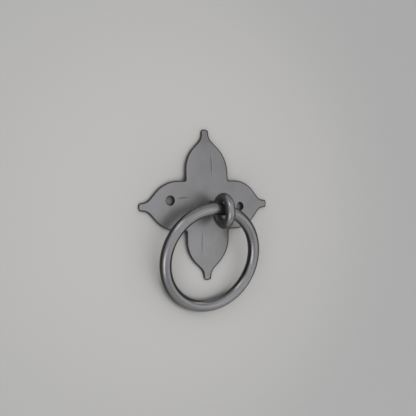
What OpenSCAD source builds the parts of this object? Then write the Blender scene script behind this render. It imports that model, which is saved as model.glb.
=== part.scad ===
// Ring drop pull for a drawer or a cupboard door.
// The origin is midway between the two screw holes, within the sheet, with +Z up.
// The pull stands out from the door towards -Y, and the door's face lies just behind the origin.

/* [Back plate] */
// Distance across the plate, from finial tip to finial tip
plate_span = 76; // [66:0.5:86]
// Width of each petal along its straight sides
petal_w = 24.7; // [22:0.1:28]
// Radius of the small curve in the corner between two petals
corner_r = 0.7; // [0.3:0.1:1.5]
// Radius of the rounded belly of a petal
belly_r = 16.5; // [14:0.5:18]
// Steepest slope of a petal's shoulder, in degrees
shoulder_slope = 48; // [42:1:54]
// Radius of the hollow curve between the shoulder and the finial
neck_r = 5.8; // [4:0.1:7]
// Width of the blunt finial
finial_w = 4; // [3:0.1:5]
// Radius of the two corners of a finial's blunt end
finial_corner_r = 1.6; // [1.2:0.1:1.8]
// How much shorter each finial is than half the span: top, right, bottom, left
finial_cut = [0, 0, 0.35, 0.25]; // [0:0.05:0.4]
// Thickness of the sheet
sheet_t = 1.6; // [1.2:0.1:2.2]
// How far the middle stands proud of the finials
dish = 2.25; // [1.8:0.05:3.5]
// Metal dressed off under each finial, so that it beds flat on the door
finial_bed = 0.3; // [0.1:0.05:0.6]
// From the door's face out to the origin, which lies within the sheet at the screw holes
origin_out = 2; // [1.5:0.1:2.5]
// Middle of the petals to the right of the middle of the screw holes
plate_x = 0.85; // [-1.5:0.05:1.5]
// Middle of the petals above the middle of the screw holes
plate_y = -0.85; // [-1.5:0.05:1.5]

/* [Screw holes] */
// Distance between the centres of the two screw holes
screw_pitch = 41.3; // [36:0.1:46]
// How far the line of the screw holes drops to the right, in degrees
screw_drop = 5.3; // [0:0.1:8]
// Diameter of a screw hole
screw_hole_d = 4.4; // [3:0.1:5.4]
// Width of the countersunk rim round each screw hole
screw_rim = 0.35; // [0.1:0.05:0.8]

/* [Chiselled veins] */
// How far each vein lies clockwise of its petal's middle: top, right, bottom, left
vein_shift = [2.65, 3.7, 3.75, 3.7]; // [0:0.05:6]
// Where each vein is deepest, from the middle of the plate
vein_reach = [21, 14.2, 18.2, 14.2]; // [12:0.1:24]
// Length of each vein
vein_length = [15.4, 9, 19, 9]; // [4:0.1:22]
// Depth of a vein
vein_depth = 0.4; // [0.2:0.05:0.7]
// Angle between the two sides of a vein
vein_angle = 100; // [60:5:120]

/* [Eye] */
// Diameter of the hole in the eye
eye_hole_d = 8.5; // [8:0.1:12]
// Diameter of the bar that the eye is bent from
eye_bar_d = 4.6; // [3.4:0.1:5]
// Clearance between the plate and the back of the eye
eye_gap = 1.85; // [0.8:0.05:4]
// How far the eye hangs below its shank
eye_drop = 2.75; // [0:0.05:4]
// How far the eye is turned to the left, in degrees
eye_turn = 3.2; // [0:0.1:5]
// Shank to the right of the middle of the petals
shank_shift = 2; // [0:0.1:3]
// Diameter of the shank at its shoulder
shank_d = 4.8; // [4:0.1:6]
// Diameter of the tenon that passes through the plate
tenon_d = 3.6; // [2.5:0.1:3.8]
// Clearance round the tenon
tenon_clearance = 0.05; // [0.02:0.01:0.1]
// Diameter of the tail, peened over behind the plate
tail_d = 6.8; // [5:0.1:9]
// Clearance between the tail and the door
tail_clearance = 0.3; // [0.1:0.05:0.6]

/* [Ring] */
// Outer diameter of the ring
ring_d = 55.4; // [48:0.2:64]
// Diameter of the ring's round bar
ring_bar_d = 5.8; // [4.5:0.1:6.4]
// How far the ring has slid sideways through the eye, in degrees
ring_slide = 10.6; // [0:0.1:12]
// Share of the play in the eye by which the ring's bar sits high
ring_high = 0.48; // [0:0.02:0.5]
// Share of the play in the eye by which the ring's bar sits towards the door
ring_back = 0.1; // [0:0.02:0.3]
// Clearance between the foot of the ring and the door
door_clearance = 0.1; // [0.05:0.05:1]

/* [Hidden] */

petal_half = petal_w / 2;
finial_r = finial_w / 2;
tip_reach = plate_span / 2;
// Half width of a petal where the belly passes into the straight shoulder
shoulder_w = petal_half - belly_r * (1 - cos(shoulder_slope));
// Half width of a petal where the shoulder passes into the hollow curve
hollow_w = finial_r + neck_r * (1 - cos(shoulder_slope));
// How far up the petal each stretch starts
finial_y = tip_reach - finial_r;
hollow_y = finial_y - neck_r * sin(shoulder_slope);
shoulder_y = hollow_y - (shoulder_w - hollow_w) / tan(shoulder_slope);
belly_y = shoulder_y - belly_r * sin(shoulder_slope);

// The dish: two spheres about one centre
dish_r = (tip_reach * tip_reach + dish * dish) / (2 * dish);
crown_z = dish + sheet_t - finial_bed;
dish_z = crown_z - dish_r;
hollow_r = dish_r - sheet_t;
sphere_steps = 360;
cut_over = 1;

// The eye
eye_bar_r = eye_bar_d / 2;
eye_r = (eye_hole_d + eye_bar_d) / 2;
shank_x = plate_x + shank_shift;
eye_y = plate_y - eye_drop;
// From the end of the shank out to the middle of the eye
eye_arm = sqrt(eye_r * eye_r - eye_drop * eye_drop);
shank_end_z = crown_z + eye_gap + eye_r + eye_bar_r - eye_arm;
// The shank narrows towards the eye to this share of the eye's bar
neck_share = 0.88;

// The tail sits against the hollow side of the plate
tail_r = tail_d / 2;
tail_reach = shank_shift + tail_r;
tail_z = dish_z + sqrt(hollow_r * hollow_r - tail_reach * tail_reach);
tail_h = tail_z - tail_clearance;
tail_ball_r = (tail_r * tail_r + tail_h * tail_h) / (2 * tail_h);

// The ring
ring_bar_r = ring_bar_d / 2;
ring_r = (ring_d - ring_bar_d) / 2;
eye_play = (eye_hole_d - ring_bar_d) / 2;
hinge_y = eye_y + ring_high * eye_play;
hinge_arm = eye_arm - ring_back * eye_play;

// Clearance between the ring's foot and the door when the ring leans back by an angle
function foot_gap(lean) =
    let (middle_z = shank_end_z + hinge_arm * cos(eye_turn) - ring_r * sin(ring_slide) * sin(eye_turn)
            - ring_r * cos(ring_slide) * sin(lean) * cos(eye_turn),
        half_depth = ring_r * sqrt(1 - pow(cos(lean) * cos(eye_turn), 2)))
    middle_z - half_depth - ring_bar_r;

// Halves the range of angles until the foot has its clearance from the door
function lean_to_door(low, high, steps) =
    let (mid = (low + high) / 2)
    steps == 0 ? mid
    : foot_gap(mid) > door_clearance ? lean_to_door(mid, high, steps - 1)
    : lean_to_door(low, mid, steps - 1);

ring_lean = lean_to_door(0, 60, 24);

function arc(middle, r, from, to, steps) =
    [for (i = [0:steps]) let (a = from + (to - from) * i / steps) middle + r * [cos(a), sin(a)]];

function flipped(points) = [for (i = [len(points) - 1:-1:0]) [-points[i][0], points[i][1]]];

function turned(points, a) =
    [for (p = points) [p[0] * cos(a) - p[1] * sin(a), p[0] * sin(a) + p[1] * cos(a)]];

function but_last(points) = [for (i = [0:len(points) - 2]) points[i]];

// Right side of the top petal, from the inner corner out to the finial's blunt end
function petal_side(cut) = concat(
    arc([petal_half + corner_r, petal_half + corner_r], corner_r, 225, 180, 3),
    arc([petal_half - belly_r, belly_y], belly_r, 0, shoulder_slope, 10),
    arc([finial_r + neck_r, finial_y], neck_r, 180 + shoulder_slope, 180, 8),
    arc([finial_r - finial_corner_r, tip_reach - cut - finial_corner_r], finial_corner_r, 0, 90, 5));

function petal(cut) = concat(petal_side(cut), flipped(petal_side(cut)));

plate_outline = [for (k = [0:3]) each but_last(turned(petal(finial_cut[(4 - k) % 4]), 90 * k))];

// Height of the plate's front face over a point of the petals' frame
function front_z(x, y) = dish_z + sqrt(dish_r * dish_r - x * x - y * y);

// Turns what is built upwards from the door's face so that it stands out towards -Y
module on_door() {
    translate([0, origin_out, 0]) rotate([90, 0, 0]) children();
}

module at_plate_middle() {
    translate([plate_x, plate_y, 0]) children();
}

// One side of the dish, turned so that the poles of the sphere lie well off the plate
module dish_ball(r) {
    translate([0, 0, dish_z]) rotate([90, 0, 0]) sphere(r = r, $fn = sphere_steps);
}

module dished_sheet() {
    difference() {
        intersection() {
            linear_extrude(height = crown_z + cut_over) polygon(plate_outline);
            dish_ball(dish_r);
        }
        dish_ball(hollow_r);
    }
}

// One vein on the top petal, sunk by a V-edged wheel whose rim runs along the petal
module vein(shift, reach, length) {
    tilt = asin(reach / dish_r);
    top_z = front_z(shift, reach);
    wheel_r = 1 / (8 * vein_depth / (length * length) - 1 / dish_r);
    rim = 2 * vein_depth;
    rim_w = rim * tan(vein_angle / 2);
    translate([shift, reach, top_z])
        rotate([-tilt, 0, 0])
            translate([0, 0, wheel_r - vein_depth])
                rotate([0, 90, 0])
                    rotate_extrude($fn = sphere_steps)
                        polygon([[wheel_r, 0], [wheel_r - rim, rim_w], [wheel_r - rim, -rim_w]]);
}

module veins() {
    for (k = [0:3])
        rotate([0, 0, -90 * k]) vein(vein_shift[k], vein_reach[k], vein_length[k]);
}

module screw_hole(side) {
    x = side * screw_pitch / 2 * cos(screw_drop);
    y = -side * screw_pitch / 2 * sin(screw_drop);
    z = front_z(x - plate_x, y - plate_y);
    hole_r = screw_hole_d / 2;
    rim_r = hole_r + screw_rim;
    lean_x = asin((x - plate_x) / dish_r);
    lean_y = asin((y - plate_y) / dish_r);
    translate([x, y, -cut_over]) cylinder(h = crown_z + 2 * cut_over, r = hole_r, $fn = 96);
    translate([x, y, z])
        rotate([-lean_y, lean_x, 0])
            cylinder(h = 2 * hole_r, r1 = rim_r - hole_r, r2 = rim_r + hole_r, center = true, $fn = 96);
}

module back_plate() {
    color([0.46, 0.46, 0.47])
        on_door()
            difference() {
                at_plate_middle() dished_sheet();
                at_plate_middle() veins();
                for (side = [-1, 1]) screw_hole(side);
                translate([shank_x, plate_y, -cut_over])
                    cylinder(h = crown_z + 2 * cut_over, d = tenon_d + 2 * tenon_clearance, $fn = 96);
            }
}

// Round bar bent to a full circle
module bar_circle(middle_r, bar_r) {
    rotate_extrude($fn = 180) translate([middle_r, 0]) circle(r = bar_r, $fn = 64);
}

// Follows the turn of the eye, which starts at the end of the shank
module at_shank_end() {
    translate([shank_x, 0, shank_end_z]) rotate([0, -eye_turn, 0]) children();
}

// The shank stands on its shoulder and its tenon passes through the plate
module shank() {
    tip_r = neck_share * eye_bar_r;
    translate([0, 0, crown_z]) cylinder(h = shank_end_z - crown_z, r1 = shank_d / 2, r2 = tip_r, $fn = 96);
    translate([0, 0, tail_z - tail_clearance]) cylinder(h = crown_z - tail_z + cut_over, d = tenon_d, $fn = 96);
}

// The domed tail, peened over in the hollow behind the plate
module tail() {
    intersection() {
        cylinder(h = tail_z, r = tail_r + cut_over, $fn = 96);
        translate([0, 0, tail_clearance + tail_ball_r]) sphere(r = tail_ball_r, $fn = 96);
    }
}

module ring_eye() {
    color([0.44, 0.44, 0.45])
        on_door()
            union() {
                translate([shank_x, plate_y, 0]) shank();
                translate([shank_x, plate_y, 0]) tail();
                at_shank_end() translate([0, eye_y, eye_arm]) rotate([0, 90, 0]) bar_circle(eye_r, eye_bar_r);
            }
}

// The ring hangs from the point where its bar passes through the eye
module ring() {
    color([0.47, 0.47, 0.48])
        on_door()
            at_shank_end()
                translate([0, hinge_y, hinge_arm])
                    rotate([ring_lean, 0, 0])
                        translate([-ring_r * sin(ring_slide), -ring_r * cos(ring_slide), 0])
                            bar_circle(ring_r, ring_bar_r);
}

back_plate();
ring_eye();
ring();
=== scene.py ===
# Looks, light and camera for a ring drop pull with a petalled back plate.
# Lengths are metres in the model's own frame: -y faces the user and +z is up.
import math

import bpy
from mathutils import Matrix, Vector
from mathutils.kdtree import KDTree


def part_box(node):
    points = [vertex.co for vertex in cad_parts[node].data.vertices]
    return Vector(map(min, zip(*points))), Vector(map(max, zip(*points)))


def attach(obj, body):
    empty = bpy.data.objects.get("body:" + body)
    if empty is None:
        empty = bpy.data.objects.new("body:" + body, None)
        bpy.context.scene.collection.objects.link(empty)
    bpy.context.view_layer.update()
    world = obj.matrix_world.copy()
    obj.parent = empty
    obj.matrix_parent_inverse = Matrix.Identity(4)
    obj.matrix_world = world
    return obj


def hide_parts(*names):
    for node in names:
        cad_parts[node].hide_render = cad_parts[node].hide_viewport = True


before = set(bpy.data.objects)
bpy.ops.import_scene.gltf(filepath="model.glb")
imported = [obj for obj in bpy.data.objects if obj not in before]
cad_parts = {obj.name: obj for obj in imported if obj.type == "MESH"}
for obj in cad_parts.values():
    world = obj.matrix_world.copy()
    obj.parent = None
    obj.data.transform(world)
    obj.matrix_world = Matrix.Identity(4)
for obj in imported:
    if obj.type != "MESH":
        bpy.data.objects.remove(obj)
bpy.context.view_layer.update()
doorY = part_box("back_plate")[1].y  # the finials' undersides lie on the door
print("frame loaded:", ", ".join(sorted(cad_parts)))


class Wire:
    # A node's output that takes part in sums: each sum adds one Math node
    def __init__(self, socket):
        self.socket = socket

    @property
    def tree(self):
        return self.socket.id_data

    def maths(self, operation, *values):
        inputs = dict(enumerate((self,) + values))
        return addNode(self.tree, "ShaderNodeMath", {"operation": operation}, inputs)

    def vector(self, operation, *values, output=0):
        settings = {"operation": operation}
        inputs = dict(enumerate((self,) + values))
        return addNode(self.tree, "ShaderNodeVectorMath", settings, inputs, output)

    def __add__(self, other):
        return self.maths("ADD", other)

    def __sub__(self, other):
        return self.maths("SUBTRACT", other)

    def __mul__(self, other):
        return self.maths("MULTIPLY", other)

    def __rsub__(self, other):
        return self.maths("MULTIPLY", -1).maths("ADD", other)

    __radd__ = __add__
    __rmul__ = __mul__


def addNode(tree, kind, settings=None, inputs=None, output=0):
    # Settings come first, because some of them change the node's sockets
    node = tree.nodes.new(kind)
    for key, value in (settings or {}).items():
        setattr(node, key, value)
    for key, value in (inputs or {}).items():
        if isinstance(value, Wire):
            tree.links.new(value.socket, node.inputs[key])
        else:
            node.inputs[key].default_value = value
    if node.outputs:
        return Wire(node.outputs[output])


def mixColours(tree, amount, first, second):
    # A Mix node's colour sockets come after those for numbers and vectors
    colours = {0: amount, 6: first, 7: second}
    return addNode(tree, "ShaderNodeMix", {"data_type": "RGBA"}, colours, output=2)


noiseMiddle = 0.5  # a noise wanders about this


def noise(tree, place, size, detail, roughness=0.5):
    inputs = {"Vector": place, "Scale": 1 / size, "Detail": detail, "Roughness": roughness}
    return addNode(tree, "ShaderNodeTexNoise", None, inputs)


def ramp(value, start, end):
    # From 0 at start to 1 at end, with soft ends
    inputs = {"Value": value, "From Min": start, "From Max": end}
    return addNode(value.tree, "ShaderNodeMapRange", {"interpolation_type": "SMOOTHSTEP"}, inputs)


def emptyMaterial(name):
    material = bpy.data.materials.new(name)
    material.use_nodes = True
    material.node_tree.nodes.clear()
    return material, material.node_tree


def grey(value, tint=(1, 1, 1)):
    return (value * tint[0], value * tint[1], value * tint[2], 1)


def direction(azimuth, elevation):
    # Out from the object: azimuth 0 is straight in front, and it grows to the right
    a = math.radians(azimuth)
    e = math.radians(elevation)
    return Vector((math.sin(a) * math.cos(e), -math.cos(a) * math.cos(e), math.sin(e)))


def spotShadeIn(place, spots):
    # Each spot of painted shade is an egg shape: middle, half sizes, the share of them where it is
    # full, strength
    spotShade = 0
    for middle, halfSizes, full, strength in spots:
        offset = place.vector("SUBTRACT", middle).vector("DIVIDE", halfSizes)
        reach = offset.vector("LENGTH", output="Value")
        spotShade = (ramp(reach, 1, full) * strength).maths("MAXIMUM", spotShade)
    return spotShade


def satinPewter(name, look):
    # Satin pewter, bright where it faces one way, with painted shade on the sides that face away from
    # that
    material, tree = emptyMaterial(name)
    place = addNode(tree, "ShaderNodeTexCoord", output="Object")
    facing = addNode(tree, "ShaderNodeTexCoord", output="Normal")
    level = facing.vector("MULTIPLY", (1, 1, look["upShare"])).vector("NORMALIZE")
    alignment = level.vector("DOT_PRODUCT", direction(*look["paintedLightFrom"]), output="Value")
    alignment = alignment.maths("ABSOLUTE")  # the back has the same finish and painted shade as the front
    clouds = noise(tree, place, look["cloudSize"], look["cloudDetail"])
    grain = noise(tree, place, look["grainSize"], look["grainDetail"], look["grainRoughness"])
    cloudWander = clouds - noiseMiddle
    grainWander = grain - noiseMiddle
    brightAbove = [math.cos(math.radians(angle)) for angle in look["brightWithin"]]
    # painted shade: dark on the sides that face away from the lit direction
    dark = ramp(alignment + cloudWander * look["edgeWander"], *brightAbove)
    # painted shade: a dark line along the plate's outline, for the shadow at its edges
    if "rimShadeLine" in look:
        fromRim = addNode(tree, "ShaderNodeAttribute", {"attribute_name": "fromRim"}, output="Fac")
        dark = ramp(fromRim, *look["rimShadeLine"]).maths("MAXIMUM", dark)
    shade = grey(look["shade"], look["shadeTint"])
    face = grey(look["face"], look["tint"])
    bright = mixColours(tree, ramp(clouds, *look["mottle"]), shade, face)
    colour = mixColours(tree, dark, bright, grey(look["dark"], look["darkTint"]))
    roughness = look["roughness"] + grainWander * look["roughnessWander"]
    roughness = roughness + dark * look["darkRoughness"]
    # painted shade in spots: in the holes and veins and in nooks round the parts
    spotShade = spotShadeIn(place.vector("ADD", cloudWander * look["spotShadeWander"]), look["shadeSpots"])
    colour = mixColours(tree, spotShade, colour, grey(look["spotShade"], look["darkTint"]))
    roughness = roughness + spotShade * look["spotShadeRoughness"]
    height = grain * look["grainDepth"] + clouds * look["cloudDepth"]
    bump = addNode(tree, "ShaderNodeBump", None, {"Height": height, "Distance": 1.0, "Strength": 1.0})
    metal = addNode(tree, "ShaderNodeBsdfPrincipled", None, {
        "Base Color": colour, "Metallic": look["metallic"], "Roughness": roughness, "Normal": bump,
    })
    addNode(tree, "ShaderNodeOutputMaterial", None, {"Surface": metal})
    return material


def selectOnly(piece):
    bpy.ops.object.select_all(action="DESELECT")
    piece.select_set(True)
    bpy.context.view_layer.objects.active = piece


mergeWithin = 0.000001  # a CAD mesh's doubles lie at one place


def mergedCopy(node, name):
    # A CAD node's mesh is loose triangles, so its copy has its doubles merged
    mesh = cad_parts[node].data.copy()
    mesh.name = name
    piece = bpy.data.objects.new(name, mesh)
    bpy.context.collection.objects.link(piece)
    selectOnly(piece)
    bpy.ops.mesh.customdata_custom_splitnormals_clear()
    bpy.ops.object.mode_set(mode="EDIT")
    bpy.ops.mesh.select_all(action="SELECT")
    bpy.ops.mesh.remove_doubles(threshold=mergeWithin)
    bpy.ops.mesh.normals_make_consistent(inside=False)
    bpy.ops.object.mode_set(mode="OBJECT")
    return piece


def applyModifier(piece, kind, settings):
    selectOnly(piece)
    modifier = piece.modifiers.new(kind.title(), kind)
    for key, value in settings.items():
        setattr(modifier, key, value)
    bpy.ops.object.modifier_apply(modifier=modifier.name)


smoothingShare = 0.5  # of the way to the neighbours' middle, in each round


def softened(piece, voxel, rounds):
    # Even faces, then a little smoothing, which eases the sharp edges
    applyModifier(piece, "REMESH", {"mode": "VOXEL", "voxel_size": voxel, "adaptivity": 0})
    applyModifier(piece, "SMOOTH", {"factor": smoothingShare, "iterations": rounds})
    bpy.ops.object.shade_smooth()
    print(piece.name, "has", len(piece.data.polygons), "faces")


def giveFinish(piece, material):
    piece.data.materials.clear()
    piece.data.materials.append(material)


finishAndPaintedShade = {
    "face": 0.286, "tint": (1, 0.975, 1.03), "shade": 0.26, "shadeTint": (1, 1, 1.01),
    "dark": 0.045, "darkTint": (1, 0.98, 0.96),
    "cloudSize": 0.012, "cloudDetail": 3, "mottle": (0.35, 0.65), "edgeWander": 0.05,
    "grainSize": 0.0005, "grainDetail": 2, "grainRoughness": 0.6,
    "paintedLightFrom": (-10, 2), "brightWithin": (28, 38), "upShare": 1,  # the sides facing away from this get painted shade; angles are in degrees
    "metallic": 1, "roughness": 0.38, "roughnessWander": 0.08, "darkRoughness": 0.1,
    "grainDepth": 0.000005, "cloudDepth": 0.00002,
    "spotShade": 0.012, "spotShadeRoughness": 0.2, "spotShadeWander": 0.0005,
}

plate = {
    "rim": 0.0005, "sharpFrom": 60, "spareMargin": 0.0011, "voxel": 0.00025, "rounds": 3,
    "look": {"metallic": 0.78, "rimShadeLine": (0.0007, 0.0004)},  # where the painted shade line along the outline starts and is full
    "rimStep": 0.0001, "rimShift": (-0.00035, 0, 0),  # the painted shade line is widest on the right
    "shankHole": ((0.00285, 0, -0.00085), (0.0019, 0.01, 0.0019)),  # middle and half sizes
    "cuts": (  # these get painted shade, and their edges stay crisp
        ((-0.02056, 0, 0.00191), (0.0024, 0.01, 0.0024), 0.9, 0.95),  # left screw hole
        ((0.02056, 0, -0.00191), (0.0024, 0.01, 0.0024), 0.9, 0.95),  # right screw hole
        ((0.0035, -0.0009, 0.02015), (0.00042, 0.0015, 0.0082), 0.3, 0.2),  # top vein
        ((0.01505, -0.0012, -0.00455), (0.005, 0.0015, 0.00042), 0.3, 0.1),  # right vein
        ((-0.0029, -0.0009, -0.01905), (0.00042, 0.0015, 0.0098), 0.3, 0.14),  # bottom vein
        ((-0.01335, -0.0012, 0.00285), (0.0055, 0.0015, 0.00042), 0.3, 0.05),  # left vein
    ),
    "shadePatches": (
        ((0.0045, -0.0016, -0.0015), (0.0085, 0.003, 0.0075), 0.35, 0.25),  # painted shade round the shank
        ((0.0005, 0, 0.0345), (0.01, 0.01, 0.012), 0.1, 0.16),  # painted shade on the top finial
    ),
}


def isSpared(place):
    # In a hole or a vein, or close beside one, seen from the front
    for spot in plate["cuts"] + (plate["shankHole"],):
        middle, halfSizes = spot[:2]
        width, height = [halfSizes[axis] + plate["spareMargin"] for axis in (0, 2)]
        if abs(place.x - middle[0]) < width and abs(place.z - middle[2]) < height:
            return True
    return False


def markRim(piece):
    # The outline's sharp edges are to be eased, but not those of the holes and the veins
    selectOnly(piece)
    bpy.ops.object.mode_set(mode="EDIT")
    bpy.ops.mesh.select_mode(type="EDGE")
    bpy.ops.mesh.select_all(action="DESELECT")
    bpy.ops.mesh.edges_select_sharp(sharpness=math.radians(plate["sharpFrom"]))
    bpy.ops.object.mode_set(mode="OBJECT")
    mesh = piece.data
    weights = mesh.attributes.new("bevel_weight_edge", "FLOAT", "EDGE")
    for edge in mesh.edges:
        first, second = [mesh.vertices[index].co for index in edge.vertices]
        eased = edge.select and not isSpared((first + second) / 2)
        weights.data[edge.index].value = 1.0 if eased else 0.0


def pointsOnRim(piece):
    # Close together along the edges that are to be eased
    mesh = piece.data
    weights = mesh.attributes["bevel_weight_edge"].data
    points = []
    for edge in mesh.edges:
        if weights[edge.index].value > 0:
            first, second = [mesh.vertices[index].co for index in edge.vertices]
            steps = max(1, round((second - first).length / plate["rimStep"]))
            points += [first.lerp(second, step / steps) for step in range(steps + 1)]
    return points


def measureFromRim(piece, points):
    # How far each vertex lies from the outline, because a line of painted shade runs along it
    nearest = KDTree(len(points))
    for index, point in enumerate(points):
        nearest.insert(point + Vector(plate["rimShift"]), index)
    nearest.balance()
    distances = piece.data.attributes.new("fromRim", "FLOAT", "POINT")
    for vertex in piece.data.vertices:
        distances.data[vertex.index].value = nearest.find(vertex.co)[2]


def makePlate():
    piece = mergedCopy("back_plate", "plateMetal")
    markRim(piece)
    points = pointsOnRim(piece)
    applyModifier(piece, "BEVEL", {
        "width": plate["rim"], "segments": 2, "limit_method": "WEIGHT", "use_clamp_overlap": False,
    })
    softened(piece, plate["voxel"], plate["rounds"])
    measureFromRim(piece, points)
    look = dict(finishAndPaintedShade, **plate["look"], shadeSpots=plate["cuts"] + plate["shadePatches"])
    giveFinish(piece, satinPewter("platePewter", look))
    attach(piece, "plate")
    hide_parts("back_plate")


eye = {
    "voxel": 0.00018, "rounds": 8,
    "look": {
        "face": 0.28, "shade": 0.26, "dark": 0.12, "roughness": 0.26, "cloudSize": 0.005,
        "paintedLightFrom": (-30, 0), "brightWithin": (33, 41), "upShare": 0.5,
        "spotShade": 0.16, "shadeSpots": (
            ((0.0025, -0.0122, -0.0036), (0.0066, 0.0066, 0.0066), 0.85, 1),  # painted shade inside
        ),
    },
}


def makeEye():
    piece = mergedCopy("ring_eye", "eyeMetal")
    softened(piece, eye["voxel"], eye["rounds"])
    giveFinish(piece, satinPewter("eyePewter", dict(finishAndPaintedShade, **eye["look"])))
    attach(piece, "plate")
    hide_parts("ring_eye")


ring = {
    "look": {
        "face": 0.272, "shade": 0.252, "dark": 0.055, "roughness": 0.25, "cloudSize": 0.01,
        "paintedLightFrom": (-23, 0), "brightWithin": (35, 41), "upShare": 0.2,
        "shadeSpots": (
            ((0.0172, -0.0072, -0.0345), (0.0028, 0.004, 0.004), 0.3, 0.55),  # painted shade low on the inside
        ),
    },
}


def finishRing():
    # The CAD ring is fine enough to stay, so only its material changes
    ringPewter = satinPewter("ringPewter", dict(finishAndPaintedShade, **ring["look"]))
    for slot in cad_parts["ring"].material_slots:
        slot.material = ringPewter


makePlate()
makeEye()
finishRing()
print("pieces made")


room = {
    "sheetSize": 4.0, "wallGap": 0.00002, "backLight": 0.006,
    "wallTone": 0.585, "wallTint": (1, 0.987, 0.965),
    # painted light falloff round the object
    "edgeTone": 0.485, "toneMiddle": (-0.012, 0, 0), "toneFrom": 0.04, "toneTo": 0.17,
    # painted light inside the ring
    "litPatchTone": 0.635, "litPatchMiddle": (-0.0005, -0.026, 0), "litPatchFrom": 0.01, "litPatchTo": 0.034,
    # painted shade under the metal
    "nookTone": 0.03, "nookReach": 0.004, "nookFrom": 0.75, "nookTo": 0.2, "nookSamples": 16,
    "floorDrop": 0.9, "floorTone": 0.62, "worldTone": 0.54,
    "focus": (0.001, -0.006, -0.01),
    "lamps": {  # azimuth, elevation, distance, width, height, radiance
        "keyLamp": (40, -18, 0.8, 0.64, 0.56, 0.44),
        "frontLamp": (-18, 2, 0.8, 1.7, 1.5, 0.37),
        "leftLamp": (-58, -28, 0.8, 0.34, 0.4, 1.75),
        "leftHighLamp": (-58, 38, 0.8, 0.3, 0.26, 1.7),
        "lowLamp": (-8, -62, 0.8, 1.2, 0.44, 0.32),
        "rightLamp": (66, 36, 0.8, 0.36, 0.36, 0.8),
        "lowRightLamp": (62, -42, 0.8, 0.4, 0.36, 0.45),
    },
}


def distanceFrom(place, middle):
    return place.vector("SUBTRACT", middle).vector("LENGTH", output="Value")


def wallColour(tree):
    # The sheet is turned up, so its own y runs up the wall
    place = addNode(tree, "ShaderNodeTexCoord", output="Object")
    # painted light: brighter round the object and darker further out, as the light falls off
    paintedFalloff = ramp(distanceFrom(place, room["toneMiddle"]), room["toneFrom"], room["toneTo"])
    # painted light: a brighter patch of wall inside the ring
    litPatch = ramp(distanceFrom(place, room["litPatchMiddle"]), room["litPatchTo"], room["litPatchFrom"])
    around = grey(room["wallTone"], room["wallTint"])
    insideRing = grey(room["litPatchTone"], room["wallTint"])
    tone = mixColours(tree, litPatch, around, insideRing)
    tone = mixColours(tree, paintedFalloff, tone, grey(room["edgeTone"]))
    settings = {"samples": room["nookSamples"]}
    reach = {"Distance": room["nookReach"]}
    openness = addNode(tree, "ShaderNodeAmbientOcclusion", settings, reach, output="AO")
    paintedNookShade = ramp(openness, room["nookFrom"], room["nookTo"])  # painted shade close under the metal, where the door is closed in
    return mixColours(tree, paintedNookShade, tone, grey(room["nookTone"], finishAndPaintedShade["darkTint"]))


def wallPaint():
    # Clear from behind and to mirror rays close by, so that a view from behind shows the back
    material, tree = emptyMaterial("wallPaint")
    paint = addNode(tree, "ShaderNodeBsdfDiffuse", None, {"Color": wallColour(tree)})
    clearSheet = addNode(tree, "ShaderNodeBsdfTransparent")
    behind = addNode(tree, "ShaderNodeNewGeometry", output="Backfacing")
    shiny = addNode(tree, "ShaderNodeLightPath", output="Is Glossy Ray")
    away = addNode(tree, "ShaderNodeLightPath", output="Ray Length")
    clear = (shiny * away.maths("LESS_THAN", room["backLight"])).maths("MAXIMUM", behind)
    seen = addNode(tree, "ShaderNodeMixShader", None, {0: clear, 1: paint, 2: clearSheet})
    addNode(tree, "ShaderNodeOutputMaterial", None, {"Surface": seen})
    return material


def floorPaint():
    material, tree = emptyMaterial("floorPaint")
    paint = addNode(tree, "ShaderNodeBsdfDiffuse", None, {"Color": grey(room["floorTone"])})
    addNode(tree, "ShaderNodeOutputMaterial", None, {"Surface": paint})
    return material


def addSheet(name, location, rotation, material):
    bpy.ops.object.select_all(action="DESELECT")
    bpy.ops.mesh.primitive_plane_add(size=room["sheetSize"], location=location, rotation=rotation)
    sheet = bpy.context.active_object
    sheet.name = name
    sheet.data.materials.append(material)


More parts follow.
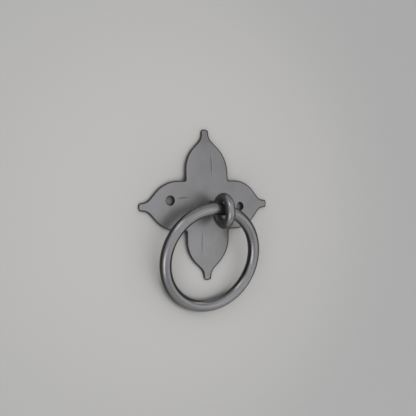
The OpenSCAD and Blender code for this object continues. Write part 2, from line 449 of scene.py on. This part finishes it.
def addLamp(name, azimuth, elevation, distance, width, height, radiance):
    data = bpy.data.lights.new(name, "AREA")
    data.shape = "RECTANGLE"
    data.size = width
    data.size_y = height
    data.energy = radiance * width * height * math.pi  # watts that give this radiance
    lamp = bpy.data.objects.new(name, data)
    bpy.context.collection.objects.link(lamp)
    back = direction(azimuth, elevation)
    lamp.location = Vector(room["focus"]) + back * distance
    lamp.rotation_euler = back.to_track_quat("Z", "Y").to_euler()


addSheet("wall", (0, doorY + room["wallGap"], 0), (math.pi / 2, 0, 0), wallPaint())
addSheet("floor", (0, doorY, -room["floorDrop"]), (0, 0, 0), floorPaint())
for lampName, lampSizes in room["lamps"].items():
    addLamp(lampName, *lampSizes)

world = bpy.data.worlds.new("studio")
bpy.context.scene.world = world
world.use_nodes = True
world.node_tree.nodes["Background"].inputs["Color"].default_value = grey(room["worldTone"])
print("room and lamps made")


shot = {
    "azimuth": -32.85, "elevation": 0.92, "roll": 1.23, "distance": 0.3124,
    "aim": (0.00085, -0.0013, -0.00085),  # the petals' middle, level with the finials' fronts
    "aimPixel": (206.45, 205.25), "pixelsPerMetre": 1991, "imageSize": 416, "clipStart": 0.01,
}


def addCamera():
    data = bpy.data.cameras.new("camera")
    camera = bpy.data.objects.new("camera", data)
    bpy.context.collection.objects.link(camera)
    bpy.context.scene.camera = camera
    aim = Vector(shot["aim"]) + Vector((0, doorY, 0))
    back = direction(shot["azimuth"], shot["elevation"])
    turn = back.to_track_quat("Z", "Y").to_matrix().to_4x4()
    roll = Matrix.Rotation(math.radians(-shot["roll"]), 4, "Z")
    camera.matrix_world = Matrix.Translation(aim + back * shot["distance"]) @ turn @ roll
    data.lens = data.sensor_width * shot["pixelsPerMetre"] * shot["distance"] / shot["imageSize"]
    data.shift_x = (0.5 * shot["imageSize"] - shot["aimPixel"][0]) / shot["imageSize"]
    data.shift_y = (shot["aimPixel"][1] - 0.5 * shot["imageSize"]) / shot["imageSize"]
    data.clip_start = shot["clipStart"]


addCamera()
bpy.context.scene.view_settings.view_transform = "Standard"
print("camera placed")
